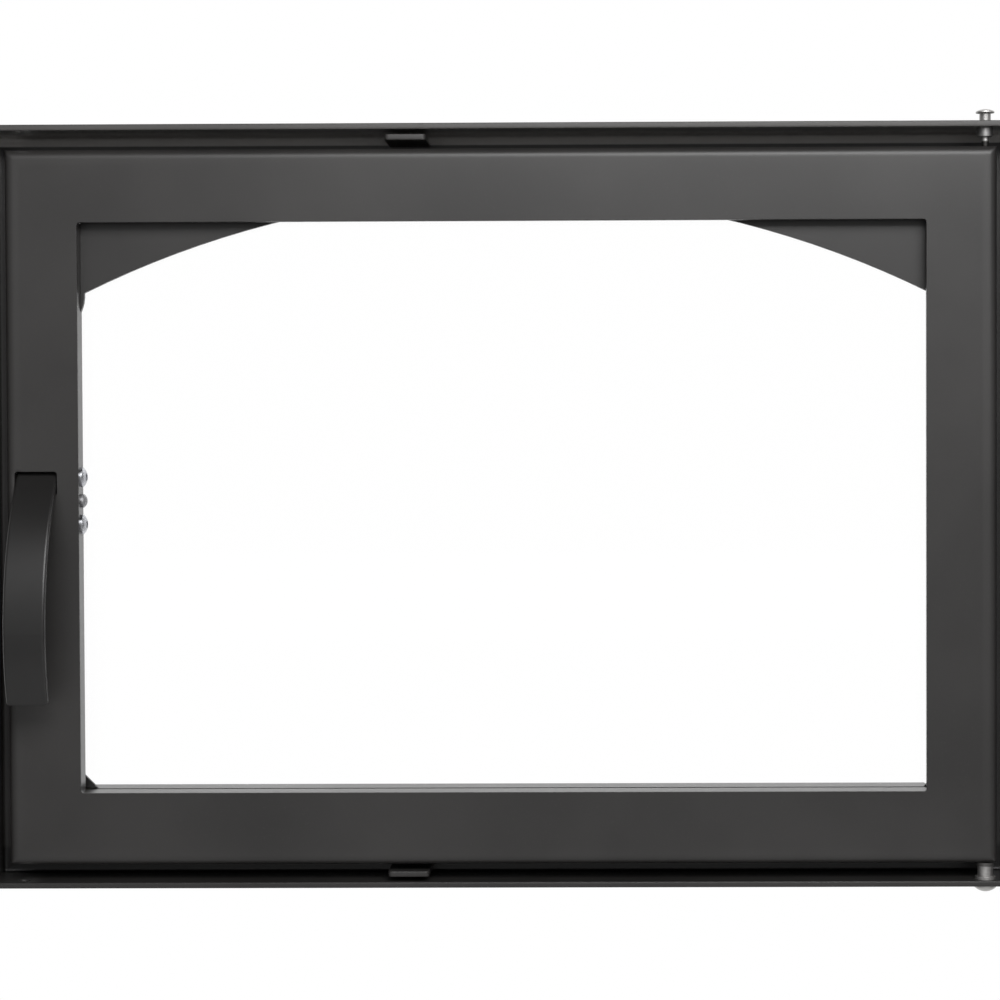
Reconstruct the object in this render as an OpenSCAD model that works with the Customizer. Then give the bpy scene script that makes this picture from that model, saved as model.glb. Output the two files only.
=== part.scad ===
// Bake oven door with its wall frame, in millimetres.
// X runs to the right, Y into the oven and Z up.
// The origin is the middle of the frame, on the rear face of its flange.

/* [Frame] */
// Width of the frame, outside
frame_w = 560; // [545:1:700]
// Height of the frame, outside
frame_h = 409; // [340:1:600]
// Depth of the frame, front edge to rear face
frame_d = 39; // [38:0.5:45]
// Thickness of the frame's sheet
frame_sheet = 3; // [2:0.5:4]
// Width of the rear flange, measured from the outside
flange_w = 40; // [36:1:42]
// Outside radius of the bend between web and flange
frame_bend = 4.5; // [4.2:0.1:6]
// Distance of the wall screws from the frame's outside
fixing_inset = 18; // [16:1:20]
// Diameter of the wall screw holes
fixing_d = 7; // [4:0.5:8]

/* [Frame lugs] */
// Width of the two lugs above and below the door
lug_w = 22; // [10:1:60]
// Thickness of the lugs
lug_t = 2.9; // [1.5:0.1:3.5]
// Gap between a lug and the web beside it
lug_gap = 2.7; // [1:0.1:4]
// Distance from a lug's tip back to the frame's front edge
lug_back = 1.4; // [0:0.1:15]
// Offset of the lugs to the left of the middle
lug_x = 51; // [20:1:150]
// Radius of a lug's front corners
lug_r = 2; // [0.5:0.5:5]

/* [Door] */
// Clear gap between the door's left side and the frame's web
left_gap = 11; // [10:0.5:16]
// Clear gap between the door's right side and the frame's web
right_gap = 12; // [11:0.5:16]
// Clear gap above the door
top_gap = 10; // [9:0.5:16]
// Clear gap below the door, filled by the hinge stack
bottom_gap = 9; // [7:0.5:14]
// Distance of the door's face behind the frame's front edge
setback = 2; // [1:0.5:3]
// Thickness of the door's sheet
door_sheet = 3; // [2:0.5:3]
// Depth of the door's rim
rim_d = 24; // [24:0.5:26]
// Outside radius of the door's folded edges
door_bend = 4.5; // [3.5:0.1:6]
// Width of the right stile
stile_w = 38; // [37:0.5:42]
// Height of the top rail
top_rail = 39; // [38:0.5:45]
// Height of the bottom rail
bottom_rail = 39; // [36:0.5:45]
// Radius of the window's corners
window_r = 1.6; // [0.5:0.1:2.5]
// Depth of the folded window sides
window_side_d = 12; // [12:0.5:13]
// How far the right side strip stands back from the window's edge
right_wall_back = 2.5; // [2:0.5:4]
// Depth of the ledge that the glass stands on
ledge_d = 36.5; // [27:0.5:40]

/* [Arch] */
// Radius of the arch
arch_r = 514; // [400:1:900]
// Height of the arch's crown above the window's top edge
crown_rise = 15.2; // [5:0.1:18]
// Offset of the arch to the right of the middle
arch_x = 1; // [0:0.5:5]
// Thickness of the arch plate
arch_t = 3; // [1.5:0.5:4]
// Height of the band that joins the two halves over the crown
arch_band = 9; // [5:0.5:9]
// Width of the ear under the arch's left end, at its top
ear_w = 2; // [1:0.5:4]
// Height of that ear, which its curved edge brings to nothing
ear_h = 9.2; // [4:0.2:15]

/* [Glass] */
// Thickness of the glass
glass_t = 4; // [3:0.5:4]
// How far the glass reaches behind each stile
glass_lap = 9; // [6:0.5:9]
// Thickness of the sealing tapes before and behind the glass
tape_t = 2; // [1.5:0.1:2]
// Thickness of the seat strips that the front tape lies on
seat_t = 2; // [1:0.5:2]
// How far the seat strips stay back from the window's sides
seat_back = 1; // [0.5:0.5:2]
// Width of the side seat strips
seat_w = 10.5; // [8:0.5:11]

/* [Back plate] */
// Thickness of the back plate
back_t = 2; // [1:0.5:2]
// Clearance between the back plate and the rim
back_clear = 0.3; // [0.1:0.1:0.6]
// How far the back plate's opening is wider than the window, each side
back_open = 5; // [4:0.5:6]
// Leg of the corner gusset at the lower left
gusset_leg = 10; // [4:0.5:20]
// Leg of the corner gusset at the lower right
small_gusset_leg = 4; // [3:0.5:10]
// Width of the door gasket
gasket_w = 7.8; // [6:0.1:9]
// Gap left between the gasket and the frame's flange
gasket_gap = 0.3; // [0.1:0.1:1]
// Distance from the mouth's edge to the gasket's middle
gasket_in = 8; // [7.5:0.5:9]
// Radius of the gasket's corners, at its middle line
gasket_r = 16; // [12:1:30]
// Thickness of the ribs that hold the gasket
rib_t = 1.5; // [1:0.1:1.6]
// Height of those ribs
rib_h = 4; // [2:0.5:6]
// Diameter of the posts that carry the back plate
post_d = 6; // [5:0.5:6]
// Diameter of the back plate's screws
back_screw_d = 4; // [3:0.5:5]
// Height of the heads of those screws
back_head_h = 2.2; // [1.5:0.1:3]

/* [Hinge] */
// Distance of the hinge axis from the door's side
hinge_in = 6; // [5.5:0.5:8]
// Distance of the hinge axis behind the frame's front edge
hinge_back = 7.5; // [7.2:0.1:9]
// Diameter of the pins where they pass through the frame
pin_d = 6; // [5:0.5:6.5]
// Diameter of the pins' tips inside the door
tip_d = 4; // [3:0.5:4.4]
// Running clearance of a pin's tip, on the radius
tip_clear = 0.05; // [0.02:0.01:0.1]
// Diameter of the upper pin's head
top_head_d = 9.9; // [8:0.1:12]
// Height of the upper pin's head
top_head_h = 2; // [1:0.1:4]
// Length of the upper pin's bare shank above the frame
top_stand = 4.8; // [1:0.1:10]
// Diameter of the lower pin's head
bottom_head_d = 11.8; // [8:0.1:14]
// Height of the lower pin's head
bottom_head_h = 3.7; // [2:0.1:5]
// Diameter of the two collars
collar_d = 8.3; // [7.6:0.1:10]
// Height of the upper collar
top_collar_h = 4.9; // [3:0.1:7]
// Height of the plain washer under the lower collar
washer_h = 1.6; // [1:0.1:2]
// Diameter of the plain washer
washer_d = 11; // [9:0.5:12]
// Height of the thrust washer that carries the door
thrust_h = 1.8; // [1:0.1:2.5]
// Diameter of the thrust washer
thrust_d = 9; // [8:0.1:11]
// Thickness of the hinge plates welded inside the door
hinge_plate_t = 4; // [3:0.5:5]
// How deep a pin's tip reaches into its hinge plate
tip_in = 3.5; // [2:0.5:4]

/* [Latch pivot] */
// Height of the latch pivot above the frame's middle
pivot_z = 3.5; // [-60:0.1:60]
// Depth of the latch pivot behind the door's face
pivot_in = 8.5; // [8.3:0.1:8.8]
// Diameter of the pivot pin
pivot_d = 5; // [4:0.5:5.5]
// Running clearance of the pivot, on the radius
pivot_clear = 0.05; // [0.02:0.01:0.1]
// Diameter of the pivot pin's domed head
pivot_head_d = 7.4; // [6.5:0.1:9]
// Height of that head
pivot_head_h = 3; // [1:0.1:3.5]
// Thickness of the pivot plate
pivot_plate_t = 4; // [3:0.5:4]
// Height of the pivot plate
pivot_plate_h = 42; // [40:1:60]
// Spacing of the pivot plate's two screws
pivot_screw_pitch = 25.4; // [20:0.1:28]
// Diameter of those screws
pivot_screw_d = 6; // [4:0.5:6.5]
// Diameter of their heads
pivot_screw_head_d = 10.6; // [8:0.1:12]
// Height of their heads
pivot_screw_head_h = 3.3; // [2:0.1:4]
// Depth of those screws behind the door's face
pivot_screw_in = 7.5; // [7:0.1:8.5]
// Thickness of the retaining ring on the pivot pin
ring_t = 1; // [0.5:0.1:1.1]
// Diameter of the retaining ring
ring_d = 7.6; // [7:0.1:7.8]

/* [Handle] */
// Distance of the handle's middle from the door's left side
handle_in = 16; // [15.9:0.1:16.4]
// Width of the handle bar
bar_w = 22.2; // [19:0.1:22.4]
// Thickness of the handle bar
bar_t = 4; // [3:0.1:5]
// Radius of the bar's long edges
bar_edge_r = 1.4; // [0.5:0.1:1.4]
// Outside radius of the long upper bow
bow_r = 118; // [90:1:150]
// Outside radius of the grip's bow
grip_r = 102; // [70:1:300]
// Angle of the bar where it goes into the door
bar_angle = 40; // [36:0.5:42]
// Height above the pivot at which the bow ends and the bar runs straight on
bend_rise = 6.4; // [5:0.1:8]
// Length of the straight tongue that reaches into the door
tongue = 14; // [12:0.5:15]
// Distance from the pivot's axis to the back of the tongue
bar_back = 9.2; // [8.8:0.1:9.6]
// Length of the grip below the bow's highest point
grip_len = 37.7; // [30:0.1:60]
// Radius of the grip's lower corners
grip_corner_r = 2; // [1:0.5:6]
// Outside diameter of the tube that turns on the pivot pin
tube_d = 8.4; // [7.6:0.1:9]
// Gap at each end of the pivot tube
tube_gap = 0.3; // [0.1:0.1:0.5]
// Width of the handle's slot in the door's face
slot_w = 22.8; // [22.5:0.1:23]
// Height of the slot's upper edge above the pivot
slot_up = 15.8; // [15.5:0.1:18]
// Height of the slot's lower edge above the pivot, hidden behind the bar
slot_low = 3; // [1:0.1:3.2]

/* [Latch] */
// Thickness of the hook plate and of the lever plate
hook_t = 4; // [2:0.5:4]
// Radius of those plates round the pivot tube
hook_boss_r = 5.2; // [5:0.1:5.2]
// How far those plates reach up along the bar, from the pivot
plate_reach = 7; // [5:0.5:9]
// How far those plates stay in from the bar's sides
plate_inset = 1.6; // [1.4:0.1:2]
// Height of the hook's arm above the pivot
arm_up = 4; // [3:0.1:5]
// Depth of the hook's arm below the pivot
arm_down = 5; // [4:0.1:6]
// Height of the nose above the arm
nose_h = 5; // [4:0.1:6]
// Thickness of the nose, front to back
nose_t = 3; // [2:0.1:3]
// Play before and behind the nose
nose_play = 0.6; // [0.3:0.1:0.6]
// Clearance of the hook above, below and beside it in the back plate's notch
hook_clear = 1.5; // [1:0.1:2]
// Angle that the handle is pulled out to free the hook
pull = 20; // [15:1:22]
// Thickness of the keeper that the hook catches behind
keeper_t = 1.5; // [1:0.1:1.5]
// Width of the keeper
keeper_w = 9; // [7:0.5:9]
// Height of the keeper's lip
keeper_lip_h = 10; // [8:0.5:16]
// Height of the keeper's foot, which is welded to the flange
keeper_foot_h = 10; // [6:0.5:20]
// Height of the keeper's lip above the hook's arm
keeper_gap = 0.8; // [0.5:0.1:1.5]

/* [Hidden] */
$fn = 96;

// A little extra length for cuts, so that no cut ends on a face
over = 1;
// Gap between a screw and the hole that it fills
thread_gap = 0.02;
// Where a straight run enters a bend it is this much smaller all round, and runs on this far
join_step = 0.02;
join_lap = 0.6;
join_turn = 0.15;
// A piece that lies in the door's folded corner is rounded this much more than the fold
bend_clear = 0.3;

// Frame
front_y = -frame_d;
web_x = frame_w / 2 - frame_sheet;
web_z = frame_h / 2 - frame_sheet;
mouth_x = frame_w / 2 - flange_w;
mouth_z = frame_h / 2 - flange_w;
flange_y = -frame_sheet;

// Door outline
face_y = front_y + setback;
door_left = -web_x + left_gap;
door_right = web_x - right_gap;
door_w = door_right - door_left;
door_x = (door_left + door_right) / 2;
door_top = web_z - top_gap;
door_bottom = -web_z + bottom_gap;
door_h = door_top - door_bottom;
door_z = (door_top + door_bottom) / 2;
inner_y = face_y + door_sheet;
inner_bend = door_bend - door_sheet;
rim_left = door_left + door_sheet;
rim_right = door_right - door_sheet;
rim_top = door_top - door_sheet;
rim_bottom = door_bottom + door_sheet;

// Window
window_x = door_right - stile_w;
window_top = door_top - top_rail;
window_bottom = door_bottom + bottom_rail;
window_h = window_top - window_bottom;
window_z = (window_top + window_bottom) / 2;
wall_x = window_x + door_sheet;
right_wall_x = window_x + right_wall_back;
ledge_low = window_bottom - door_sheet;

// Layers behind the window, front to back
seat_y = face_y + window_side_d;
front_tape_y = seat_y + seat_t;
glass_y = front_tape_y + tape_t;
rear_tape_y = glass_y + glass_t;
back_y = rear_tape_y + tape_t;
back_rear_y = back_y + back_t;
glass_x = window_x + glass_lap;
glass_top = window_top + crown_rise + arch_band - 5;
seat_top = window_top + crown_rise + arch_band;
seat_low_edge = window_top + 3;
left_seat_x = -window_x - seat_back - seat_w;
right_seat_x = right_wall_x + seat_back;
seat_notch = pivot_plate_h / 2 + 1;
back_open_x = window_x + back_open;
back_open_top = window_top + back_open;

// Arch
arch_y = seat_y - arch_t;
arch_z = window_top + crown_rise - arch_r;
arch_left_z = arch_z + sqrt(pow(arch_r, 2) - pow(window_x + arch_x, 2));
ear_r = (pow(ear_w, 2) + pow(ear_h, 2)) / (2 * ear_w);

// Gasket
gasket_x = mouth_x + gasket_in;
gasket_z = mouth_z + gasket_in;
gasket_h = flange_y - gasket_gap - back_rear_y;
gasket_round = gasket_w / 2 - 0.4;
rib_gap = 0.1;
rib_mid = gasket_w / 2 + rib_gap + rib_t / 2;
rib_outer_x = gasket_x + rib_mid + rib_t / 2;
rib_outer_z = gasket_z + rib_mid + rib_t / 2;
post_left_x = (-rib_outer_x + rim_left + inner_bend) / 2;
post_right_x = (rib_outer_x + rim_right - inner_bend) / 2;
post_top_z = (rib_outer_z + rim_top - inner_bend) / 2;
post_bottom_z = (-rib_outer_z + rim_bottom + inner_bend) / 2;
post_row_x = door_w / 3;
post_row_z = door_h / 3.6;
post_places = [
  [-post_row_x, post_top_z], [0, post_top_z], [post_row_x, post_top_z],
  [-post_row_x, post_bottom_z], [0, post_bottom_z], [post_row_x, post_bottom_z],
  [post_left_x, post_row_z], [post_left_x, -post_row_z],
  [post_right_x, post_row_z], [post_right_x, -post_row_z]
];
back_head_d = post_d;

// Hinge
hinge_x = door_right - hinge_in;
hinge_y = front_y + hinge_back;
pin_hole_gap = 0.05;
bottom_collar_h = bottom_gap - washer_h - thrust_h;
hinge_plate_w = 14;
hinge_plate_d = 12;

// Latch
handle_x = door_left + handle_in;
pivot_y = face_y + pivot_in;
pivot_plate_x = -wall_x - pivot_plate_t;
pivot_plate_d = 2 * (pivot_in - door_sheet);
tube_right = pivot_plate_x - tube_gap;
tube_left = handle_x - bar_w / 2 + plate_inset;
ring_x = tube_left - tube_gap - ring_t;
pin_left = ring_x - 0.7;

// Where the bow ends, along the tongue from the foot of the pivot, and out from the door's face
bar_front = bar_back + bar_t;
bend_z = pivot_z + bend_rise;
bend_along = (bend_rise - bar_front * sin(bar_angle)) / cos(bar_angle);
bend_out = bar_front * cos(bar_angle) - bend_along * sin(bar_angle) - pivot_in;
peak_out = bend_out + bow_r * (1 - cos(bar_angle));
peak_z = bend_z - bow_r * sin(bar_angle);
grip_angle = asin(grip_len / grip_r);
grip_low = peak_z - grip_len;

// Hook and lever plates
hook_x = tube_left;
lever_x = handle_x + bar_w / 2 - plate_inset - hook_t;
hook_reach = flange_y - nose_play - pivot_y;
nose_top = arm_up + nose_h;
notch_right = hook_x + hook_t + hook_clear;
notch_top = pivot_z + nose_top + hook_clear;
notch_low = pivot_z - (back_rear_y - pivot_y) * sin(pull) - arm_down - hook_clear;

// Keeper
keeper_x = notch_right - keeper_w;
keeper_y = flange_y - 2 * nose_play - nose_t - keeper_t;
keeper_low = pivot_z + arm_up + keeper_gap;
keeper_top = keeper_low + keeper_lip_h;

// Paint and metal
paint = [0.2, 0.2, 0.2];
dark_paint = [0.15, 0.15, 0.15];
bright_steel = [0.75, 0.75, 0.75];
dull_steel = [0.5, 0.5, 0.5];

// Rectangle with round corners, centred
module round_rect(w, h, r) {
  square([w - 2 * r, h], center = true);
  square([w, h - 2 * r], center = true);
  for (sx = [-1, 1], sz = [-1, 1])
    translate([sx * (w / 2 - r), sz * (h / 2 - r)])
      circle(r = r);
}

// Section of a tray of width w and depth d, whose two front corners are folded to radius r
module tray_section(w, d, r) {
  translate([-w / 2 + r, 0])
    square([w - 2 * r, d]);
  translate([-w / 2, r])
    square([w, d - r]);
  for (s = [-1, 1])
    translate([s * (w / 2 - r), r])
      circle(r = r);
}

// Solid tray block with its front face on Y = 0, all four front edges folded, mitred at the corners
module tray_block(w, h, d, r) {
  intersection() {
    linear_extrude(height = h, center = true)
      tray_section(w, d, r);
    rotate([0, 90, 0])
      linear_extrude(height = w, center = true)
        tray_section(h, d, r);
  }
}

// Flat outline in X and Z, made into a plate from y to y + t
module plate(y, t) {
  translate([0, y + t, 0])
    rotate([90, 0, 0])
      linear_extrude(height = t)
        children();
}

// Flat outline in Y and Z, made into a plate from x to x + t
module side_plate(x, t) {
  translate([x, 0, 0])
    rotate([90, 0, 90])
      linear_extrude(height = t)
        children();
}

// Round bar along X
module x_bar(x0, x1, r) {
  translate([x0, 0, 0])
    rotate([0, 90, 0])
      cylinder(h = x1 - x0, r = r);
}

// Round bar along Y
module y_bar(y0, y1, r) {
  translate([0, y0, 0])
    rotate([-90, 0, 0])
      cylinder(h = y1 - y0, r = r);
}

// Round bar along Z
module z_bar(z0, z1, r) {
  translate([0, 0, z0])
    cylinder(h = z1 - z0, r = r);
}

// Domed head that stands up from Z = 0, with a straight rim a third of its height
module domed_head(d, h) {
  rise = h * 2 / 3;
  ball = (pow(d / 2, 2) + pow(rise, 2)) / (2 * rise);
  intersection() {
    cylinder(h = h, d = d);
    translate([0, 0, h - ball])
      sphere(r = ball);
  }
}

// Domed head with a six-sided socket
module socket_head(d, h) {
  key = d * 0.38;
  key_depth = h / 2;
  difference() {
    domed_head(d, h);
    translate([0, 0, h - key_depth])
      cylinder(h = key_depth + over, d = key / cos(30), $fn = 6);
  }
}

// Ring with a bore, standing up from Z = z
module ring(z, h, outer_r, bore_r) {
  translate([0, 0, z])
    difference() {
      cylinder(h = h, r = outer_r);
      translate([0, 0, -over])
        cylinder(h = h + 2 * over, r = bore_r);
    }
}

// Frame: a folded sheet with a deep web and a flange at the rear
module frame_shell() {
  color(paint)
    difference() {
      mirror([0, 1, 0])
        tray_block(frame_w, frame_h, frame_d, frame_bend);
      translate([0, flange_y, 0])
        mirror([0, 1, 0])
          tray_block(2 * web_x, 2 * web_z, frame_d, frame_bend - frame_sheet);
      plate(flange_y - over, frame_sheet + 2 * over)
        square([2 * mouth_x, 2 * mouth_z], center = true);
      // Wall screw holes
      for (sx = [-1, 1], sz = [-1, 1])
        translate([sx * (frame_w / 2 - fixing_inset), 0, sz * (frame_h / 2 - fixing_inset)])
          y_bar(flange_y - over, over, fixing_d / 2);
      // Hinge holes on both sides, because the frame is hung either way round
      for (sx = [-1, 1], sz = [-1, 1])
        translate([sx * hinge_x, hinge_y, sz * (frame_h / 2 - frame_sheet / 2)])
          z_bar(-frame_sheet, frame_sheet, pin_d / 2 + pin_hole_gap);
    }
}

// Flat lug that stands on the flange and reaches forward beside the web
module frame_lug() {
  length = frame_d - frame_sheet - lug_back;
  translate([-lug_x, flange_y - length / 2, web_z - lug_gap - lug_t])
    linear_extrude(height = lug_t)
      difference() {
        square([lug_w, length], center = true);
        for (s = [-1, 1])
          translate([s * lug_w / 2, -length / 2])
            difference() {
              square(2 * lug_r, center = true);
              translate([-s * lug_r, lug_r])
                circle(r = lug_r);
            }
      }
}

module frame_lug_top() {
  color(paint)
    frame_lug();
}

module frame_lug_bottom() {
  color(paint)
    mirror([0, 0, 1])
      frame_lug();
}

// Bent strip on the flange, with a lip that the hook's nose catches behind
module latch_keeper() {
  color(dull_steel)
    side_plate(keeper_x, keeper_w) {
      translate([keeper_y, keeper_low])
        square([keeper_t, keeper_lip_h]);
      translate([keeper_y, keeper_top - keeper_t])
        square([flange_y - keeper_y, keeper_t]);
      translate([flange_y - keeper_t, keeper_top - keeper_t])
        square([keeper_t, keeper_foot_h + keeper_t]);
    }
}

// Upper hinge pin: domed head, shank through the web, thin tip down into the door
module hinge_pin_top() {
  head_z = frame_h / 2 + top_stand;
  shank_end = web_z - top_collar_h;
  color(bright_steel)
    translate([hinge_x, hinge_y, 0]) {
      translate([0, 0, head_z])
        domed_head(top_head_d, top_head_h);
      z_bar(shank_end, head_z, pin_d / 2);
      z_bar(rim_top - tip_in, shank_end, tip_d / 2);
    }
}

// Lower hinge pin: domed head under the web, shank up to the collar, thin tip up into the door
module hinge_pin_bottom() {
  shank_end = door_bottom - thrust_h;
  color(bright_steel)
    translate([hinge_x, hinge_y, 0]) {
      translate([0, 0, -frame_h / 2])
        mirror([0, 0, 1])
          domed_head(bottom_head_d, bottom_head_h);
      z_bar(-frame_h / 2, shank_end, pin_d / 2);
      z_bar(shank_end, rim_bottom + tip_in, tip_d / 2);
    }
}

module collar_top() {
  color(bright_steel)
    translate([hinge_x, hinge_y, 0])
      ring(web_z - top_collar_h, top_collar_h, collar_d / 2, pin_d / 2 + pin_hole_gap);
}

module collar_bottom() {
  color(bright_steel)
    translate([hinge_x, hinge_y, 0])
      ring(-web_z + washer_h, bottom_collar_h, collar_d / 2, pin_d / 2 + pin_hole_gap);
}

module plain_washer() {
  color(dull_steel)
    translate([hinge_x, hinge_y, 0])
      ring(-web_z, washer_h, washer_d / 2, pin_d / 2 + pin_hole_gap);
}

// The door stands and turns on this washer
module thrust_washer() {
  color(dull_steel)
    translate([hinge_x, hinge_y, 0])
      ring(door_bottom - thrust_h, thrust_h, thrust_d / 2, tip_d / 2 + tip_clear);
}

// Slot in the face that the handle bar comes out of, with round corners
module handle_slot() {
  plate(face_y - over, door_sheet + 2 * over)
    translate([handle_x, pivot_z + (slot_up + slot_low) / 2])
      round_rect(slot_w, slot_up - slot_low, window_r);
}

// Space inside the door's tray, its front edges rounded to radius r
module door_inside(r) {
  translate([door_x, inner_y, door_z])
    tray_block(rim_right - rim_left, rim_top - rim_bottom, rim_d, r);
}

// Front of the door: a folded tray with the window's sides and ledge turned in
module door_front() {
  color(paint)
    difference() {
      union() {
        difference() {
          translate([door_x, face_y, door_z])
            tray_block(door_w, door_h, rim_d, door_bend);
          door_inside(inner_bend);
          plate(face_y - over, door_sheet + 2 * over)
            translate([0, window_z])
              round_rect(2 * window_x, window_h, window_r);
        }
        for (x = [-wall_x, right_wall_x])
          translate([x, face_y + over, window_bottom])
            cube([door_sheet, window_side_d - over, window_h]);
        translate([-wall_x, face_y + over, ledge_low])
          cube([2 * wall_x, ledge_d - over, door_sheet]);
      }
      handle_slot();
      for (z = [door_bottom, rim_top])
        translate([hinge_x, hinge_y, z])
          z_bar(-over, door_sheet + over, tip_d / 2 + tip_clear);
      translate([0, pivot_y, pivot_z])
        x_bar(-wall_x - over, -window_x + over, pivot_d / 2 + thread_gap);
      for (s = [-1, 1])
        translate([0, face_y + pivot_screw_in, pivot_z + s * pivot_screw_pitch / 2])
          x_bar(-wall_x - over, -window_x + over, pivot_screw_d / 2 + thread_gap);
    }
}

// Arched plate that fills the window's upper corners
module arch_plate() {
  color(paint)
    plate(arch_y, arch_t) {
      difference() {
        translate([-window_x, window_z])
          square([window_x + right_wall_x, seat_top - window_z]);
        translate([arch_x, arch_z])
          circle(r = arch_r, $fn = 360);
      }
      intersection() {
        translate([-window_x, arch_left_z - ear_h])
          square([ear_w, ear_h + ear_w]);
        translate([-window_x + ear_w - ear_r, arch_left_z])
          circle(r = ear_r, $fn = 360);
      }
    }
}

// Strips behind the window's edges that the glass is bedded on
module glass_seat() {
  color(dark_paint)
    plate(seat_y, seat_t) {
      translate([left_seat_x, pivot_z + seat_notch])
        square([seat_w, seat_top - pivot_z - seat_notch]);
      translate([right_seat_x, window_bottom])
        square([seat_w, seat_top - window_bottom]);
      translate([left_seat_x, seat_low_edge])
        square([right_seat_x + seat_w - left_seat_x, seat_top - seat_low_edge]);
    }
}

// The left strip goes on below the pivot plate
module glass_seat_low() {
  color(dark_paint)
    plate(seat_y, seat_t)
      translate([left_seat_x, window_bottom])
        square([seat_w, pivot_z - seat_notch - window_bottom]);
}

module glass_pane() {
  color([0.75, 0.8, 0.8, 0.3])
    translate([-glass_x, glass_y, window_bottom])
      cube([2 * glass_x, glass_t, glass_top - window_bottom]);
}

// Sealing tape round three sides of the glass, open from x = left to x = right and up to z = top
module tape(y, left, right, top) {
  color([0.85, 0.84, 0.8])
    plate(y, tape_t)
      difference() {
        translate([-glass_x, window_bottom])
          square([2 * glass_x, glass_top - window_bottom]);
        translate([left, window_bottom - over])
          square([right - left, top - window_bottom + over]);
      }
}

module front_tape() {
  tape(front_tape_y, -window_x - 2 * seat_back, right_seat_x + seat_back, seat_low_edge + 2 * seat_back);
}

module rear_tape() {
  tape(rear_tape_y, -back_open_x, back_open_x, back_open_top + seat_back);
}

// Ring between two rectangles that follow the gasket's middle line, each at its own distance
module gasket_ring(inner, outer) {
  difference() {
    round_rect(2 * (gasket_x + outer), 2 * (gasket_z + outer), gasket_r + outer);
    round_rect(2 * (gasket_x + inner), 2 * (gasket_z + inner), gasket_r + inner);
  }
}

// Corner gusset of the back plate's opening, beside and above the ledge
module gusset(leg) {
  polygon([
    [back_open_x + over, window_bottom + leg],
    [back_open_x, window_bottom + leg],
    [back_open_x - leg, window_bottom],
    [wall_x, window_bottom],
    [wall_x, ledge_low - over],
    [back_open_x + over, ledge_low - over]
  ]);
}

// Back plate: closes the tray, presses on the glass and carries the gasket between two ribs
module door_back() {
  plate_left = rim_left + back_clear;
  plate_right = rim_right - back_clear;
  plate_low = rim_bottom + back_clear;
  plate_top = rim_top - back_clear;
  color(dark_paint)
    difference() {
      union() {
        plate(back_y, back_t) {
          difference() {
            translate([plate_left, plate_low])
              square([plate_right - plate_left, plate_top - plate_low]);
            translate([-back_open_x, ledge_low])
              square([2 * back_open_x, back_open_top - ledge_low]);
          }
          gusset(small_gusset_leg);
          mirror([1, 0])
            gusset(gusset_leg);
        }
        plate(back_rear_y, rib_h)
          for (s = [-1, 1])
            gasket_ring(s * rib_mid - rib_t / 2, s * rib_mid + rib_t / 2);
      }
      for (p = post_places)
        translate([p[0], 0, p[1]])
          y_bar(back_y - over, back_rear_y + over, back_screw_d / 2 + thread_gap);
      // Notch in the left edge for the latch hook
      plate(back_y - over, back_t + 2 * over)
        translate([rim_left - over, notch_low])
          square([notch_right - rim_left + over, notch_top - notch_low]);
    }
}

// Section of the rope gasket: flat where it lies on the plate, round where it meets the frame
module gasket_section(less) {
  r = gasket_round - less;
  half = gasket_w / 2 - less;
  top = gasket_h - less;
  translate([-half, less])
    square([2 * half, top - r - less]);
  translate([-half + r, less])
    square([2 * (half - r), top - less]);
  for (s = [-1, 1])
    translate([s * (half - r), top - r])
      circle(r = r);
}

module gasket_run(length) {
  linear_extrude(height = length + join_lap, center = true)
    gasket_section(join_step);
}

module door_gasket() {
  straight_x = gasket_x - gasket_r;
  straight_z = gasket_z - gasket_r;
  color([0.3, 0.3, 0.29])
    translate([0, back_rear_y, 0]) {
      for (s = [-1, 1])
        translate([s * gasket_x, 0, 0])
          gasket_run(2 * straight_z);
      for (s = [-1, 1])
        translate([0, 0, s * gasket_z])
          rotate([0, 90, 0])
            gasket_run(2 * straight_x);
      for (turn = [0:90:270])
        translate([
          (turn == 0 || turn == 270 ? 1 : -1) * straight_x,
          0,
          (turn < 180 ? -1 : 1) * straight_z
        ])
          rotate([-90, turn, 0])
            rotate_extrude(angle = 90)
              translate([gasket_r, 0])
                gasket_section(0);
    }
}

// Posts welded inside the door, which the back plate is screwed to
module back_posts() {
  color(dull_steel)
    for (p = post_places)
      translate([p[0], 0, p[1]])
        difference() {
          y_bar(inner_y, back_y, post_d / 2);
          y_bar(inner_y + over, back_y + over, back_screw_d / 2 + thread_gap);
        }
}

module back_screws() {
  color(bright_steel)
    for (p = post_places)
      translate([p[0], 0, p[1]]) {
        y_bar(inner_y + 2 * over, back_rear_y, back_screw_d / 2);
        translate([0, back_rear_y, 0])
          rotate([-90, 0, 0])
            socket_head(back_head_d, back_head_h);
      }
}

// Small plate behind the rim that lengthens the bore for a pin's tip
module hinge_plate(z) {
  difference() {
    intersection() {
      translate([rim_right - hinge_plate_w, inner_y, z])
        cube([hinge_plate_w, hinge_plate_d, hinge_plate_t]);
      door_inside(inner_bend + bend_clear);
    }
    translate([hinge_x, hinge_y, z])
      z_bar(-over, hinge_plate_t + over, tip_d / 2 + tip_clear);
  }
}

module hinge_plate_top() {
  color(dull_steel)
    hinge_plate(rim_top - hinge_plate_t);
}

module hinge_plate_bottom() {
  color(dull_steel)
    hinge_plate(rim_bottom);
}

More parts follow.
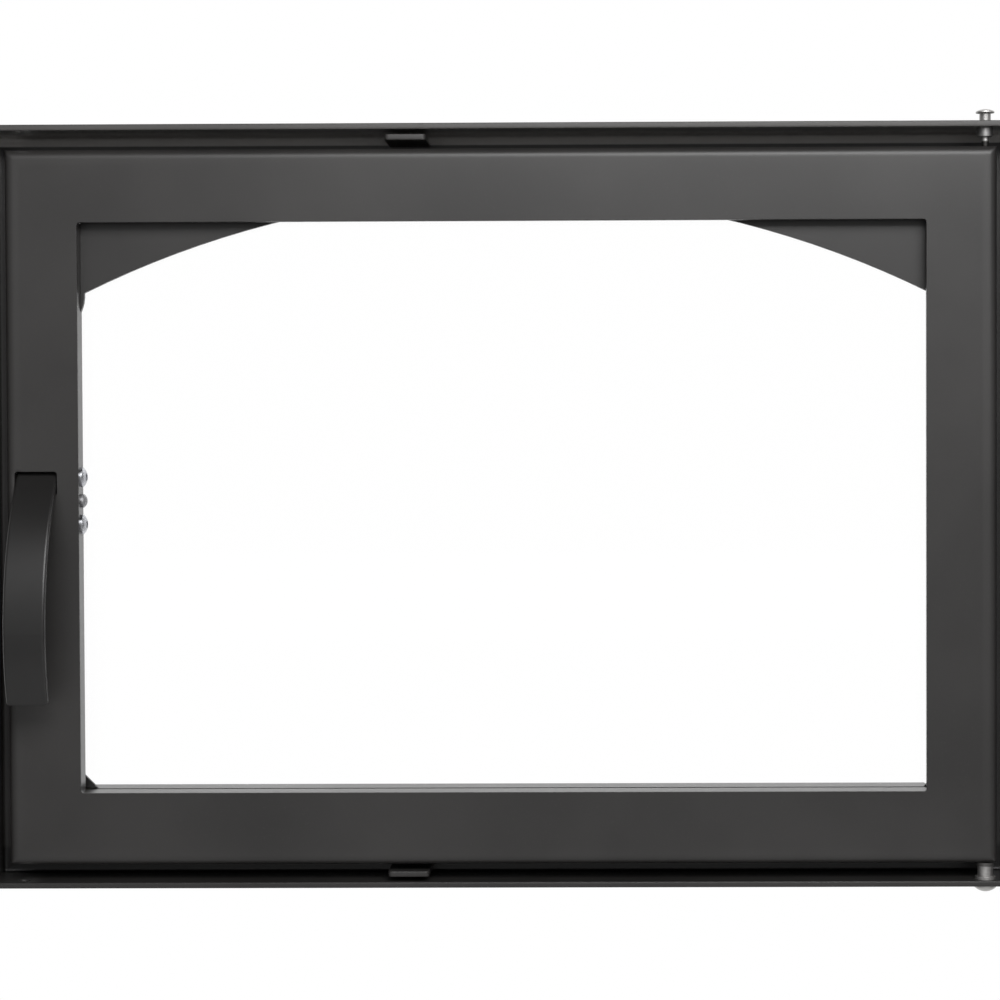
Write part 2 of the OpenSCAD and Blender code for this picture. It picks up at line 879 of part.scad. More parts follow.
// Plate behind the window's left side, which carries the pivot pin
module pivot_plate() {
  color(dull_steel)
    difference() {
      translate([pivot_plate_x, inner_y, pivot_z - pivot_plate_h / 2])
        cube([pivot_plate_t, pivot_plate_d, pivot_plate_h]);
      translate([0, pivot_y, pivot_z])
        x_bar(pivot_plate_x - over, -wall_x + over, pivot_d / 2 + thread_gap);
      for (s = [-1, 1])
        translate([0, face_y + pivot_screw_in, pivot_z + s * pivot_screw_pitch / 2])
          x_bar(pivot_plate_x - over, -wall_x + over, pivot_screw_d / 2 + thread_gap);
    }
}

module pivot_pin() {
  color(dull_steel)
    translate([0, pivot_y, pivot_z]) {
      x_bar(pin_left, -window_x, pivot_d / 2);
      translate([-window_x, 0, 0])
        rotate([0, 90, 0])
          domed_head(pivot_head_d, pivot_head_h);
    }
}

module pivot_screws() {
  color(bright_steel)
    for (s = [-1, 1])
      translate([0, face_y + pivot_screw_in, pivot_z + s * pivot_screw_pitch / 2]) {
        x_bar(pivot_plate_x, -window_x, pivot_screw_d / 2);
        translate([-window_x, 0, 0])
          rotate([0, 90, 0])
            socket_head(pivot_screw_head_d, pivot_screw_head_h);
      }
}

// Retaining ring that keeps the pivot tube on its pin
module pivot_ring() {
  color(bright_steel)
    translate([ring_x, pivot_y, pivot_z])
      rotate([0, 90, 0])
        ring(0, ring_t, ring_d / 2, pivot_d / 2 + thread_gap);
}

// Section of the handle bar, front face on Y = 0, made smaller all round by less
module bar_section(less) {
  translate([0, bar_t / 2])
    round_rect(bar_w - 2 * less, bar_t - 2 * less, bar_edge_r - less);
}

// Stretch of the bar bent to an outside radius, from angle a0 to a1 above the bow's highest point
module bar_bend(radius, a0, a1, less) {
  translate([0, face_y - peak_out + radius, peak_z])
    rotate([0, 90, 0])
      rotate([0, 0, -90 - a1])
        rotate_extrude(angle = a1 - a0, $fn = 180)
          translate([radius - bar_t / 2, 0])
            rotate(-90)
              translate([0, -bar_t / 2])
                bar_section(less);
}

// Bowed handle bar: a straight tongue into the door, then two bends
module handle_bar() {
  bar_top = bend_z + tongue + grip_corner_r;
  color(dark_paint)
    translate([handle_x, 0, 0])
      intersection() {
        union() {
          translate([0, face_y - bend_out, bend_z])
            rotate([-bar_angle, 0, 0])
              translate([0, 0, -join_lap])
                linear_extrude(height = tongue + join_lap)
                  bar_section(join_step);
          bar_bend(bow_r, 0, bar_angle, 0);
          bar_bend(grip_r, -grip_angle, join_turn, join_step);
        }
        plate(face_y - peak_out - over, peak_out + rim_d)
          translate([0, (bar_top + grip_low) / 2])
            round_rect(bar_w, bar_top - grip_low, grip_corner_r);
      }
}

// Tube that turns on the pivot pin, held to the bar by the two plates
module pivot_tube() {
  color(dull_steel)
    translate([tube_left, pivot_y, pivot_z])
      rotate([0, 90, 0])
        ring(0, tube_right - tube_left, tube_d / 2, pivot_d / 2 + pivot_clear);
}

// Plate from the pivot tube to the back of the bar, with an arm to the rear if one is given
module lever_side() {
  translate([pivot_y, pivot_z])
    difference() {
      union() {
        circle(r = hook_boss_r);
        rotate(90 - bar_angle)
          square([plate_reach, bar_back]);
        children();
      }
      circle(r = tube_d / 2 + thread_gap);
    }
}

// Hook plate welded to the tube and the bar, whose nose catches behind the keeper
module latch_hook() {
  color(dull_steel)
    side_plate(hook_x, hook_t)
      lever_side()
        polygon([
          [0, -arm_down],
          [hook_reach - arm_down / 2, -arm_down],
          [hook_reach, -arm_down / 2],
          [hook_reach, arm_up / 2],
          [hook_reach - nose_t * 2 / 3, nose_top],
          [hook_reach - nose_t, nose_top],
          [hook_reach - nose_t, arm_up],
          [0, arm_up]
        ]);
}

// Second plate, at the other end of the tube
module lever_plate() {
  color(dull_steel)
    side_plate(lever_x, hook_t)
      lever_side();
}

frame_shell();
frame_lug_top();
frame_lug_bottom();
hinge_pin_top();
hinge_pin_bottom();
collar_top();
collar_bottom();
plain_washer();
thrust_washer();
latch_keeper();
door_front();
door_back();
arch_plate();
glass_seat();
glass_seat_low();
glass_pane();
front_tape();
rear_tape();
door_gasket();
back_posts();
back_screws();
hinge_plate_top();
hinge_plate_bottom();
pivot_plate();
pivot_pin();
pivot_screws();
pivot_ring();
handle_bar();
pivot_tube();
latch_hook();
lever_plate();
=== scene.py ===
import math

import bmesh
import bpy
from mathutils import Matrix, Vector


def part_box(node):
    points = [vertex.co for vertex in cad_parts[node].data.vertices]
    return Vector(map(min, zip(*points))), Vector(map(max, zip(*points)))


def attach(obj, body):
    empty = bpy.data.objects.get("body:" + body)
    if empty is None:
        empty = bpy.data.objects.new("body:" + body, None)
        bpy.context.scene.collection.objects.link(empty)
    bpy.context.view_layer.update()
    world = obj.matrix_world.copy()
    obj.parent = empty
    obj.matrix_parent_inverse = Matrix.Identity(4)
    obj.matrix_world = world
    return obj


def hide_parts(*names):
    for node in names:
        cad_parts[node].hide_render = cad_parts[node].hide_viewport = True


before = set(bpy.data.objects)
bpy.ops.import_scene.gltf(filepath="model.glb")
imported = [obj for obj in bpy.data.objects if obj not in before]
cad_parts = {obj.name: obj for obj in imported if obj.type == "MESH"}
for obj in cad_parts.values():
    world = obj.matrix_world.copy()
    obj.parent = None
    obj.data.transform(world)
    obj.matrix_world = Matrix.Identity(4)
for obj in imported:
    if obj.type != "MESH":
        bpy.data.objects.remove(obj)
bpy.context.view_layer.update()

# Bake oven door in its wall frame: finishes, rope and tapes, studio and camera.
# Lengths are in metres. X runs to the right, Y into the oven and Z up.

QUARTER_TURN = math.pi / 2


# Shader tools

WHITE = (1.0, 1.0, 1.0)
# Sockets of the Mix node by number, because several share a name: factor, first, second, result
MIX_SOCKETS = {"RGBA": (0, 6, 7, 2), "VECTOR": (0, 4, 5, 1)}


class Value:
    """A number that varies over a surface. Arithmetic on it adds Math nodes."""

    def __init__(self, nodes, socket):
        self.nodes = nodes
        self.socket = socket

    def _math(self, operation, *operands):
        return self.nodes.node(
            "ShaderNodeMath", {"operation": operation}, dict(enumerate(operands))
        )

    def __add__(self, other):
        return self._math("ADD", self, other)

    def __radd__(self, other):
        return self._math("ADD", other, self)

    def __sub__(self, other):
        return self._math("SUBTRACT", self, other)

    def __rsub__(self, other):
        return self._math("SUBTRACT", other, self)

    def __mul__(self, other):
        return self._math("MULTIPLY", self, other)

    def __rmul__(self, other):
        return self._math("MULTIPLY", other, self)

    def __truediv__(self, other):
        return self._math("DIVIDE", self, other)

    def __rtruediv__(self, other):
        return self._math("DIVIDE", other, self)

    def __pow__(self, other):
        return self._math("POWER", self, other)

    def __rpow__(self, other):
        return self._math("POWER", other, self)

    def __abs__(self):
        return self._math("ABSOLUTE", self)

    def sine(self):
        return self._math("SINE", self)

    def at_most(self, other):
        return self._math("MINIMUM", self, other)

    def at_least(self, other):
        return self._math("MAXIMUM", self, other)

    def clamp(self):
        return self.at_least(0.0).at_most(1.0)

    def ramp(self, none, full):
        """0 up to none, 1 from full on, and a smooth change between. Either may be the higher."""
        t = ((self - none) / (full - none)).clamp()
        return t * t * (3.0 - 2.0 * t)


def between(first, second, amount):
    """The number that lies this far on the way from first to second."""
    return first + (second - first) * amount


def shade(colour, factor):
    """A colour made darker or paler, up to white."""
    return tuple(min(1.0, c * factor) for c in colour)


class NodeTree:
    """The nodes of a material or of the world, built up one by one."""

    def __init__(self, owner, output):
        owner.use_nodes = True
        self.tree = owner.node_tree
        self.tree.nodes.clear()
        self.output = self.node(output, out=None)

    def node(self, kind, settings=None, inputs=None, out=0):
        """Add a node: its type, then its settings, then the values or links of its sockets."""
        made = self.tree.nodes.new(kind)
        for key, value in (settings or {}).items():
            setattr(made, key, value)
        for key, value in (inputs or {}).items():
            socket = made.inputs[key]
            if isinstance(value, Value):
                self.tree.links.new(value.socket, socket)
            elif value is not None:
                socket.default_value = (*value, 1.0) if socket.type == "RGBA" else value
        return made if out is None else Value(self, made.outputs[out])

    def axes(self, place):
        """The three parts of a position or direction."""
        split = self.node("ShaderNodeSeparateXYZ", inputs={0: place}, out=None)
        return [Value(self, split.outputs[i]) for i in range(3)]

    def show(self, shader):
        self.tree.links.new(shader.socket, self.output.inputs["Surface"])

    def white_ground(self, behind):
        """How far a ray sees the ground as white: camera and transmission rays wholly.

        Glossy rays see it so only behind the door, where the Value behind is 1.
        """
        path = self.node("ShaderNodeLightPath", out=None)
        camera, through, glossy = [
            Value(self, path.outputs[name])
            for name in ("Is Camera Ray", "Is Transmission Ray", "Is Glossy Ray")
        ]
        return (camera + through + glossy * behind).at_most(1.0)


class Finish(NodeTree):
    """A material, laid out in the coordinates of the object that carries it."""

    def __init__(self, name):
        self.material = bpy.data.materials.new(name)
        super().__init__(self.material, "ShaderNodeOutputMaterial")
        self.place = self.node("ShaderNodeTexCoord", out="Object")

    def stretched(self, factors):
        """The object's coordinates, each times its own factor."""
        sockets = {0: self.place, 1: factors}
        return self.node("ShaderNodeVectorMath", {"operation": "MULTIPLY"}, sockets)

    def noise(self, scale, detail=2.0, roughness=0.5, place=None):
        """Noise with about so many patches to a metre."""
        place = place or self.place
        sockets = {"Vector": place, "Scale": scale, "Detail": detail, "Roughness": roughness}
        return self.node("ShaderNodeTexNoise", inputs=sockets)

    def mix(self, kind, amount, first, second):
        factor, low, high, result = MIX_SOCKETS[kind]
        sockets = {factor: amount, low: first, high: second}
        return self.node("ShaderNodeMix", {"data_type": kind}, sockets, out=result)

    def blend(self, amount, first, second):
        """The colour that lies this far on the way from first to second."""
        return self.mix("RGBA", amount, first, second)

    def bevel(self, radius, samples=4):
        """Normal that rounds the edges off."""
        return self.node("ShaderNodeBevel", {"samples": samples}, {"Radius": radius}, out="Normal")

    def bump(self, height, distance, strength=1.0, normal=None):
        sockets = {"Strength": strength, "Distance": distance, "Height": height, "Normal": normal}
        return self.node("ShaderNodeBump", inputs=sockets)

    def surface(self, **sockets):
        """End in a Principled shader with these sockets, and give the material."""
        inputs = {key.replace("_", " "): value for key, value in sockets.items()}
        self.show(self.node("ShaderNodeBsdfPrincipled", inputs=inputs))
        return self.material


# Finishes

# Where the paint changes: each pair gives the depth or height of none and of all
BEHIND_THE_FACE = (-0.0362, -0.0335)
# Depth and height of the painted light that makes the flange in the frame's upper gap paler
LIT_GAP_DEPTH = (-0.031, -0.006)
LIT_GAP_HEIGHT = (0.1964, 0.1976)
# Height from which the frame's upper edge is painted paler: painted light, with some dust
RIM_HEIGHT = (0.2, 0.2015)
# Depth and height of the painted shade that makes the flange in the frame's lower gap darker
SHADED_GAP_DEPTH = (-0.006, -0.004)
SHADED_GAP_HEIGHT = (-0.186, -0.189)

# Width of the door's folded edge, the width in which the paint's soft bend begins, its radius
FOLD_WIDTH = 0.009
FOLD_FADE = 0.002
FOLD_RADIUS = 0.0025
# How far the dust on a top face reaches down its edge
SHELF_DEPTH = 0.0004

# Colours of the painted light in the frame's upper gap and on its upper edge, which there shows
# some dust too, of the painted shade in its lower gap, and of grease and soil on the pieces
LIGHT_AND_DUST_GREY = (0.43, 0.415, 0.4)
PAINTED_SHADE_BLACK = (0.003, 0.003, 0.003)
GREASE = (0.02, 0.019, 0.018)
SOIL = (0.3, 0.27, 0.22)

# Half the width in which grease and rubbed metal fade out along a pin
GREASE_FADE = 0.0004
RUB_FADE = 0.0003
# Rings that the lathe's tool leaves, in radians to a metre, and the radius of turned edges
LATHE_RINGS = 9000.0
TURNED_EDGE = 0.0003
# Distance from one thread of the tape to the next but one
WEAVE = 0.0011


def stove_paint(
    name, colour, rough, grain, edge=0.0005, wiped=0.0, gap_light_and_shade=0.0, folded=None, shelf=None
):
    """Sprayed heat-resistant paint: fine grain, faint clouds and edges rounded by the coat.

    grain is the depth of its relief and edge the radius that it gives to edges. The paint can be
    wiped smoother behind the door's face. It can carry painted light deep in the frame's upper
    gap, and painted light with some dust faintly on its upper edge, and then painted shade deep
    in the lower gap. On the node folded it runs softly over the bend. On top of the node shelf
    it is matt with settled dust.
    """
    finish = Finish(name)
    x, y, z = finish.axes(finish.place)
    cloud = finish.noise(scale=9.0, detail=3.0, roughness=0.55)
    grit = finish.noise(scale=2600.0, roughness=0.6)
    peel = finish.noise(scale=420.0)
    speck = finish.noise(scale=900.0, detail=1.0).ramp(0.66, 0.74)
    tone = finish.blend(cloud.ramp(0.3, 0.7), shade(colour, 0.86), shade(colour, 1.22))
    tone = finish.blend(speck * 0.25, tone, shade(colour, 1.7))
    rough = rough + (cloud - 0.5) * 0.08 + (grit - 0.5) * 0.05
    soft = finish.bevel(edge)
    if wiped:
        rough = rough - y.ramp(*BEHIND_THE_FACE) * wiped
    if gap_light_and_shade:
        # Painted light: the flange deep in the upper gap is made paler, and the upper edge too,
        # there with some dust
        painted_light_recess = y.ramp(*LIT_GAP_DEPTH) * z.ramp(*LIT_GAP_HEIGHT)
        lit_dusty_rim = z.ramp(*RIM_HEIGHT) * 0.07
        painted_light_and_dust = (painted_light_recess + lit_dusty_rim) * (0.75 + cloud * 0.5) * gap_light_and_shade
        # Painted shade: the flange deep in the lower gap is made darker
        painted_gap_shade = y.ramp(*SHADED_GAP_DEPTH) * z.ramp(*SHADED_GAP_HEIGHT)
        tone = finish.blend(painted_light_and_dust.clamp(), tone, LIGHT_AND_DUST_GREY)
        tone = finish.blend(painted_gap_shade * 0.85, tone, PAINTED_SHADE_BLACK)
    if folded:
        low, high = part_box(folded)
        side = (low.x + FOLD_WIDTH - x).at_least(x - (high.x - FOLD_WIDTH))
        end = (low.z + FOLD_WIDTH - z).at_least(z - (high.z - FOLD_WIDTH))
        bend = side.at_least(end).ramp(0.0, FOLD_FADE)
        soft = finish.mix("VECTOR", bend, soft, finish.bevel(FOLD_RADIUS, samples=8))
        rough = rough + bend * 0.06
    if shelf:
        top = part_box(shelf)[1].z
        rough = rough + z.ramp(top - SHELF_DEPTH, top) * 0.4
    return finish.surface(
        Base_Color=tone,
        Roughness=rough,
        Normal=finish.bump(grit * 0.6 + peel * 0.4, grain, normal=soft),
    )


def turned_steel(name, colour, rough, axis, greased=0.0, heads=None):
    """Zinc-plated steel turned on a lathe: fine rings across the axis and a patchy bloom.

    Between the heights -greased and greased a pin carries dark grease. Below the first of the
    heights in heads, and above the second, it is rubbed brighter.
    """
    finish = Finish(name)
    x, y, z = finish.axes(finish.place)
    along = {"X": x, "Y": y, "Z": z}[axis]
    wobble = finish.noise(scale=300.0)
    rings = (along * LATHE_RINGS + wobble * 5.0).sine() * 0.5 + 0.5
    bloom = finish.noise(scale=240.0, detail=3.0, roughness=0.6)
    tone = finish.blend(bloom.ramp(0.35, 0.7), shade(colour, 0.72), colour)
    if greased:
        film = abs(z).ramp(greased + GREASE_FADE, greased - GREASE_FADE)
        tone = finish.blend(film * 0.95, tone, GREASE)
    if heads:
        low, high = heads
        rubbed = (low - z).at_least(z - high).ramp(-RUB_FADE, RUB_FADE)
        tone = finish.blend(rubbed * 0.75, tone, shade(colour, 1.8))
    return finish.surface(
        Base_Color=tone,
        Metallic=1.0,
        Roughness=rough + (bloom - 0.5) * 0.2 + (rings - 0.5) * 0.06,
        Normal=finish.bump(rings, 0.00002, normal=finish.bevel(TURNED_EDGE)),
    )


def mill_steel(name, colour, rough):
    """Bare rolled steel inside the door: dark scale with drawn lines and a few rubbed spots."""
    finish = Finish(name)
    along = finish.stretched((60.0, 900.0, 900.0))
    drawn = finish.noise(scale=1.0, detail=3.0, roughness=0.6, place=along)
    scale = finish.noise(scale=70.0, detail=4.0, roughness=0.62)
    rubbed = finish.noise(scale=160.0).ramp(0.6, 0.75)
    tone = finish.blend(scale.ramp(0.35, 0.65), shade(colour, 0.55), colour)
    tone = finish.blend(rubbed * 0.5, tone, shade(colour, 1.9))
    return finish.surface(
        Base_Color=tone,
        Metallic=0.85,
        Roughness=rough + (scale - 0.5) * 0.2 + (drawn - 0.5) * 0.12,
        Normal=finish.bump(drawn * 0.5 + scale * 0.5, 0.00004),
    )


def stove_glass(name):
    """Clear ceramic glass with the slight ripple of rolled sheet and a faint film on it."""
    finish = Finish(name)
    ripple = finish.noise(scale=22.0, detail=1.0)
    film = finish.noise(scale=35.0, detail=3.0, roughness=0.6)
    return finish.surface(
        Base_Color=WHITE,
        Roughness=0.004 + film.ramp(0.5, 0.8) * 0.012,
        IOR=1.47,
        Specular_Tint=(0.15, 0.15, 0.15),
        Transmission_Weight=1.0,
        Normal=finish.bump(ripple, 0.00001, strength=0.3),
    )


def woven_tape(name, colour):
    """Plain-woven glass-fibre tape: threads over and under, soiled in patches."""
    finish = Finish(name)
    x, _, z = finish.axes(finish.place)
    pitch = 2.0 * math.pi / WEAVE
    weave = ((x * pitch).sine() * (z * pitch).sine()) * 0.5 + 0.5
    fibre = finish.noise(scale=5200.0, roughness=0.7)
    soil = finish.noise(scale=30.0, detail=4.0, roughness=0.6).ramp(0.45, 0.8)
    tone = finish.blend(weave * 0.8, shade(colour, 0.68), colour)
    tone = finish.blend(soil * 0.5, tone, SOIL)
    return finish.surface(
        Base_Color=tone,
        Roughness=0.82 + (fibre - 0.5) * 0.2,
        Normal=finish.bump(weave * 0.7 + fibre * 0.3, 0.00018),
    )


def knitted_rope(name, colour):
    """Knitted glass-fibre rope in dark grey: fine fibres over the knit that the mesh has."""
    finish = Finish(name)
    fibre = finish.noise(scale=3800.0, detail=3.0, roughness=0.7)
    patch = finish.noise(scale=60.0)
    tone = finish.blend(fibre.ramp(0.3, 0.75), shade(colour, 0.5), shade(colour, 1.5))
    tone = finish.blend(patch * 0.4, tone, colour)
    return finish.surface(
        Base_Color=tone,
        Roughness=0.9 + (fibre - 0.5) * 0.15,
        Normal=finish.bump(fibre, 0.00025),
    )


BODY_GREY = (0.024, 0.0228, 0.0222)
PAINT_GRAIN = 0.00002

body_paint = stove_paint(
    "satin_stove_paint", BODY_GREY, 0.34, PAINT_GRAIN,
    wiped=0.05, folded="door_front", shelf="door_front",
)
# The frame's paint carries painted light in its upper gap and on its upper edge, and painted shade
# in its lower gap
frame_paint = stove_paint(
    "satin_frame_paint", BODY_GREY, 0.34, PAINT_GRAIN,
    edge=0.0014, gap_light_and_shade=1.2, shelf="frame_shell",
)
inner_paint = stove_paint("matt_inner_paint", (0.022, 0.021, 0.0206), 0.35, 0.00003)
handle_paint = stove_paint(
    "satin_handle_paint", (0.0115, 0.011, 0.0108), 0.33, PAINT_GRAIN, edge=0.0006
)
zinc_pin = turned_steel(
    "zinc_plated_pin", (0.41, 0.405, 0.395), 0.5, "Z", greased=0.1942, heads=(-0.2047, 0.2092)
)
# Painted shade and painted light: the top collar is a darker copy, and the lower collar with its
# washer a paler copy, of one zinc finish
zinc_collar_shaded = turned_steel("zinc_plated_collar_shaded", (0.3, 0.296, 0.292), 0.5, "Z")
zinc_low_collar_lit = turned_steel("zinc_plated_low_collar_lit", (0.5, 0.49, 0.48), 0.5, "Z")
zinc_dome = turned_steel("zinc_plated_dome", (0.42, 0.42, 0.43), 0.5, "X")
zinc_screw = turned_steel("zinc_plated_screw", (0.7, 0.7, 0.72), 0.26, "Y")
zinc_cross = turned_steel("zinc_plated_cross_screw", (0.6, 0.61, 0.64), 0.3, "X")
mill = mill_steel("oiled_mill_steel", (0.2, 0.195, 0.19), 0.42)
pane_glass = stove_glass("clear_stove_glass")
tape_weave = woven_tape("glass_fibre_tape", (0.78, 0.76, 0.7))
rope_knit = knitted_rope("glass_fibre_rope", (0.1, 0.1, 0.098))

FINISHES = {
    body_paint: ["door_front"],
    frame_paint: ["frame_shell", "frame_lug_top", "frame_lug_bottom"],
    inner_paint: ["arch_plate", "door_back", "glass_seat", "glass_seat_low"],
    handle_paint: ["handle_bar"],
    zinc_pin: ["hinge_pin_top", "hinge_pin_bottom"],
    zinc_collar_shaded: ["collar_top"],
    zinc_low_collar_lit: ["collar_bottom", "plain_washer"],
    zinc_dome: ["pivot_pin"],
    zinc_screw: ["back_screws"],
    zinc_cross: ["pivot_screws", "pivot_ring"],
    mill: [
        "thrust_washer", "latch_keeper", "back_posts", "hinge_plate_top", "hinge_plate_bottom",
        "pivot_plate", "pivot_tube", "latch_hook", "lever_plate",
    ],
    pane_glass: ["glass_pane"],
}
for material, nodes in FINISHES.items():
    for node in nodes:
        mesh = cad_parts[node].data
        mesh.materials.clear()
        mesh.materials.append(material)


# Soft pieces

ROPE_WIDTH = 0.0078
ROPE_CORNER = 0.016
ROPE_SIDES = 18
# Distance between the rings of points along the rope, and the length of a stitch of its knit
ROPE_STEP = 0.0011
STITCH = 0.0052
# Share of the rope's thickness that the knit takes up
KNIT_DEPTH = 0.06

# Places of the mesh's points across the tape, where 1 is its edge
TAPE_ACROSS = [-1.0, -0.8, -0.3, 0.3, 0.8, 1.0]
# Share of half its width over which the tape thins towards its edge, and by how much there
EDGE_SHARE = 0.2
EDGE_THINNING = 0.35
# How much thinner it is halfway down its waves, and the turn of a wave from point to point
WAVE_THINNING = 0.03
WAVE_TURN = 0.45
# Share of its full width, and the steps of its mesh up each side and over the top
TAPE_FILL = 0.995
SIDE_STEPS = 150
TOP_STEPS = 300


def piece(name, mesh, finish, body):
    """Put a mesh into the scene as a piece of the object."""
    made = bpy.data.objects.new(name, mesh)
    bpy.context.scene.collection.objects.link(made)
    mesh.materials.append(finish)
    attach(made, body)
    return made


def skin(name, rows, closed):
    """Smooth mesh over rows of points that each go once round it. Open ends get flat caps."""
    bm = bmesh.new()
    rings = [[bm.verts.new(point) for point in row] for row in rows]
    for first, second in zip(rings, rings[1:] + rings[:1] if closed else rings[1:]):
        for j in range(len(first)):
            k = (j + 1) % len(first)
            bm.faces.new((first[j], first[k], second[k], second[j]))
    if not closed:
        bm.faces.new(rings[0])
        bm.faces.new(rings[-1][::-1])
    bmesh.ops.recalc_face_normals(bm, faces=bm.faces)
    for face in bm.faces:
        face.smooth = len(face.verts) == 4
    mesh = bpy.data.meshes.new(name)
    bm.to_mesh(mesh)
    bm.free()
    return mesh


def outward(angle):
    """Direction in the door's plane, from right towards up."""
    return Vector((math.cos(angle), 0, math.sin(angle)))


def ring_path(half_x, half_z, radius, step):
    """Points, outward directions and run lengths round a rectangle with round corners."""
    points = []
    for turn, (sx, sz) in enumerate([(1, 1), (-1, 1), (-1, -1), (1, -1)]):
        centre = Vector((sx * (half_x - radius), 0, sz * (half_z - radius)))
        count = max(4, round(radius * QUARTER_TURN / step))
        for k in range(count):
            out = outward(QUARTER_TURN * (turn + k / count))
            points.append((centre + out * radius, out))
        out = outward(QUARTER_TURN * (turn + 1))
        along = Vector((-out.z, 0, out.x))
        straight = 2 * ((half_x, half_z)[turn % 2] - radius)
        count = max(1, round(straight / step))
        for k in range(count):
            points.append((centre + out * radius + along * (straight * k / count), out))
    path = []
    length = 0.0
    for (point, out), (after, _) in zip(points, points[1:] + points[:1]):
        path.append((point, out, length))
        length += (after - point).length
    return path, length


def squarish(part, power):
    """Sine or cosine of a round section, drawn towards that of a square one."""
    return math.copysign(abs(part) ** power, part)


def rope_gasket():
    """Knitted rope laid in its channel: squarish, with the knit's relief on its sides and top."""
    low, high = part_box("door_gasket")
    height = high.y - low.y
    half_x = (high.x - low.x - ROPE_WIDTH) / 2
    half_z = (high.z - low.z - ROPE_WIDTH) / 2
    path, length = ring_path(half_x, half_z, ROPE_CORNER, ROPE_STEP)
    stitches = round(length / STITCH)
    rows = []
    for point, out, run in path:
        phase = 2 * math.pi * stitches * run / length
        row = []
        for j in range(ROPE_SIDES):
            angle = 2 * math.pi * j / ROPE_SIDES
            knit = 0.5 + 0.5 * math.sin(phase + 3 * angle) * math.sin(phase - 3 * angle)
            reach = 1.0 - KNIT_DEPTH + KNIT_DEPTH * knit
            side = squarish(math.cos(angle), 0.8) * ROPE_WIDTH / 2 * reach
            rise = squarish(math.sin(angle), 0.75)
            up = height * (0.5 + 0.5 * rise * (reach if rise > 0 else 1.0))
            row.append(point + out * side + Vector((0, low.y + up, 0)))
        rows.append(row)
    mesh = skin("rope_gasket", rows, closed=True)
    made = piece("rope_gasket", mesh, rope_knit, "door")
    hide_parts("door_gasket")


def tape_band(name, node, left_x, right_x, inner_top):
    """Flat woven tape round three sides of the pane, with thin edges and a slight wave.

    left_x, right_x and inner_top are the edges of the opening that it leaves.
    """
    low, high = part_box(node)
    middle = (low.y + high.y) / 2
    thick = high.y - low.y
    top_half = (high.z - inner_top) / 2
    left_half = (left_x - low.x) / 2
    right_half = (high.x - right_x) / 2
    start = Vector((low.x + left_half, 0, low.z))
    end = Vector((high.x - right_half, 0, low.z))
    top_z = high.z - top_half
    rise = top_z - low.z
    # Points on the tape's middle line, each with half the tape's width as a vector
    line = []
    for k in range(SIDE_STEPS):
        line.append((start + Vector((0, 0, rise * k / SIDE_STEPS)), Vector((-left_half, 0, 0))))
    line.append((start + Vector((0, 0, rise)), Vector((-left_half, 0, top_half))))
    for k in range(1, TOP_STEPS):
        across_x = start.x + (end.x - start.x) * k / TOP_STEPS
        line.append((Vector((across_x, 0, top_z)), Vector((0, 0, top_half))))
    line.append((end + Vector((0, 0, rise)), Vector((right_half, 0, top_half))))
    for k in range(1, SIDE_STEPS + 1):
        up = Vector((0, 0, rise * (1 - k / SIDE_STEPS)))
        line.append((end + up, Vector((right_half, 0, 0))))
    rows = []
    for i, (point, half) in enumerate(line):
        row = []
        for face, across in ((1, TAPE_ACROSS), (-1, TAPE_ACROSS[::-1])):
            for a in across:
                beyond = max(0.0, abs(a) - (1.0 - EDGE_SHARE))
                edge = 1.0 - EDGE_THINNING * beyond / EDGE_SHARE
                wave = 1.0 - WAVE_THINNING * (1 + math.sin(i * WAVE_TURN + 2 * a))
                depth = middle + face * thick / 2 * edge * wave
                row.append(point + half * a * TAPE_FILL + Vector((0, depth, 0)))
        rows.append(row)
    mesh = skin(name, rows, closed=False)
    made = piece(name, mesh, tape_weave, "door")
    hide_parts(node)


rope_gasket()
tape_band("woven_front_tape", "front_tape", left_x=-0.2290, right_x=0.2315, inner_top=0.1575)
tape_band("woven_rear_tape", "rear_tape", left_x=-0.2320, right_x=0.2320, inner_top=0.1585)


# Studio

FLOOR_PAINT = (0.8, 0.8, 0.8)
# Half the length of the floor's sides
FLOOR_HALF = 7.0
# Share of white that the camera sees close to the door. The rest is lit floor, with its shadow.
NEAR_WHITE = 0.9
SENSOR_MM = 36.0
LENS_MM = 90.0


def studio_floor(height, near, far):
    """Pale floor: it keeps the door's shadow close by, and fades to plain white further off."""
    finish = Finish("studio_floor_white")
    x, y, _ = finish.axes(finish.place)
    away = ((x * x + y * y) ** 0.5).ramp(near, far)
    white = finish.white_ground(y.ramp(-0.1, 0.5)) * between(NEAR_WHITE, 1.0, away)
    lit = finish.node("ShaderNodeBsdfDiffuse", inputs={"Color": FLOOR_PAINT})
    glow = finish.node("ShaderNodeEmission", inputs={"Color": WHITE, "Strength": 1.0})
    finish.show(finish.node("ShaderNodeMixShader", inputs={0: white, 1: lit, 2: glow}))
    bm = bmesh.new()
    bmesh.ops.create_grid(bm, x_segments=1, y_segments=1, size=FLOOR_HALF)
    for vert in bm.verts:
        vert.co.z = height
    mesh = bpy.data.meshes.new("studio_floor")
    bm.to_mesh(mesh)
    bm.free()
    mesh.materials.append(finish.material)
    floor = bpy.data.objects.new("studio_floor", mesh)
    bpy.context.scene.collection.objects.link(floor)


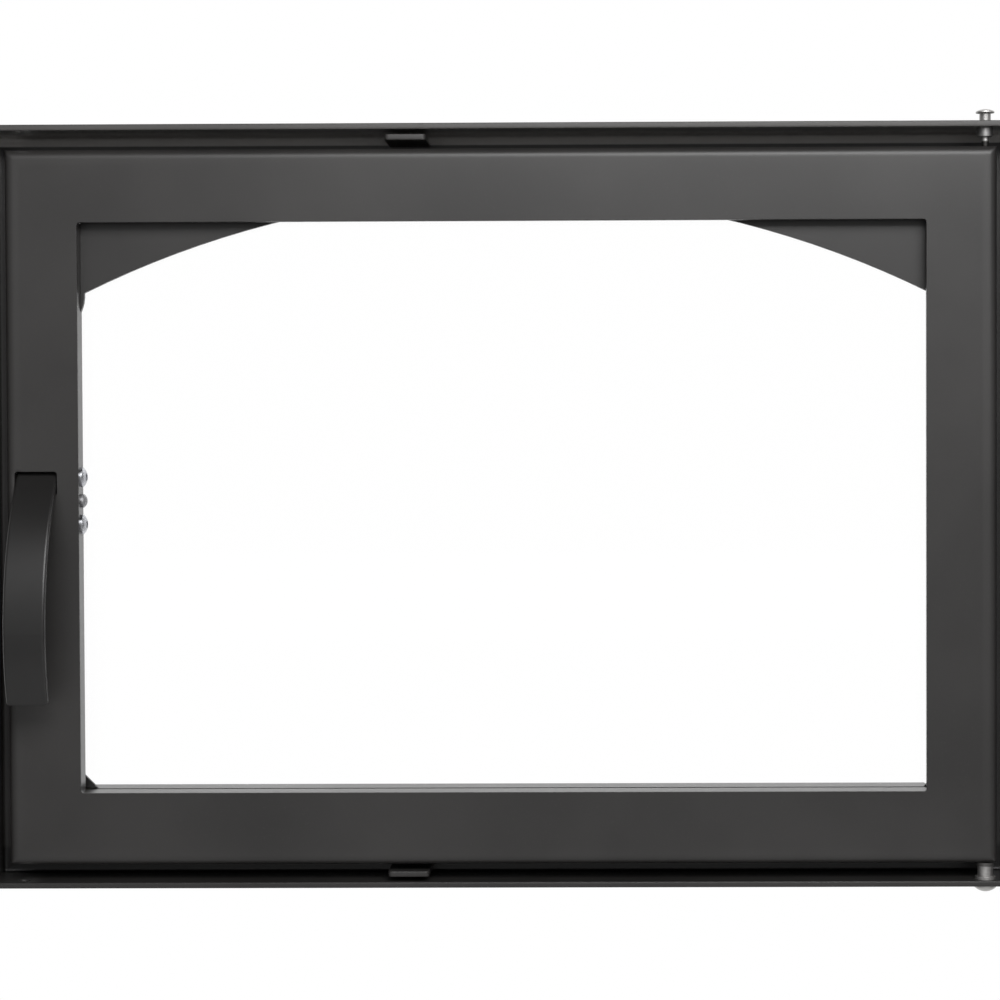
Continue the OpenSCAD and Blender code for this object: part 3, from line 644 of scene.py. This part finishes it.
def studio_sky(front, side, back, ceiling):
    """Dim room round a white ground, with its level in front, at the sides, behind and above."""
    world = bpy.data.worlds.new("studio")
    bpy.context.scene.world = world
    sky = NodeTree(world, "ShaderNodeOutputWorld")
    _, y, z = sky.axes(sky.node("ShaderNodeTexCoord", out="Generated"))
    behind = y.ramp(-0.05, 0.45)
    level = between(front, side, y.ramp(-0.92, -0.5))
    level = between(level, back, behind)
    level = between(level, ceiling, z.ramp(0.35, 0.8))
    strength = between(level, 1.0, sky.white_ground(behind))
    sky.show(sky.node("ShaderNodeBackground", inputs={"Color": WHITE, "Strength": strength}))


def softbox(name, azimuth, elevation, distance, width, height, power):
    """Area lamp aimed at the door. Azimuth is measured from straight in front, to the right."""
    lamp = bpy.data.lights.new(name, "AREA")
    lamp.shape = "RECTANGLE"
    lamp.size = width
    lamp.size_y = height
    lamp.energy = power
    az, el = math.radians(azimuth), math.radians(elevation)
    way = Vector((math.sin(az) * math.cos(el), -math.cos(az) * math.cos(el), math.sin(el)))
    place = way * distance
    lamp_object = bpy.data.objects.new(name, lamp)
    lamp_object.location = place
    lamp_object.rotation_euler = (-place).to_track_quat("-Z", "Y").to_euler()
    bpy.context.scene.collection.objects.link(lamp_object)


def studio_camera(place, yaw, pitch, roll, shift):
    """Camera at the photograph's angle: it looks along +Y, turned by the three small angles."""
    camera = bpy.data.cameras.new("photo_view")
    camera.sensor_width = SENSOR_MM
    camera.lens = LENS_MM
    camera.shift_x = shift
    camera.clip_start = 0.05
    turn = Matrix.Rotation(yaw, 4, "Z")
    turn = turn @ Matrix.Rotation(pitch, 4, "X") @ Matrix.Rotation(roll, 4, "Y")
    upright = Matrix.Rotation(QUARTER_TURN, 4, "X")
    camera_object = bpy.data.objects.new("photo_view", camera)
    bpy.context.scene.collection.objects.link(camera_object)
    camera_object.matrix_world = Matrix.Translation(place) @ turn @ upright
    bpy.context.scene.camera = camera_object


studio_floor(height=-0.62, near=0.6, far=1.4)
studio_sky(front=0.53, side=0.3, back=0.15, ceiling=0.02)
softbox("key_softbox", azimuth=15, elevation=32, distance=1.8, width=1.4, height=0.8, power=32)
softbox("low_softbox", azimuth=0, elevation=-9, distance=2.4, width=1.4, height=0.5, power=0.75)
studio_camera(place=(0.060, -1.374, 0.033), yaw=0.0087, pitch=-0.0223, roll=0.0036, shift=-0.0924)
bpy.context.scene.view_settings.view_transform = "Standard"
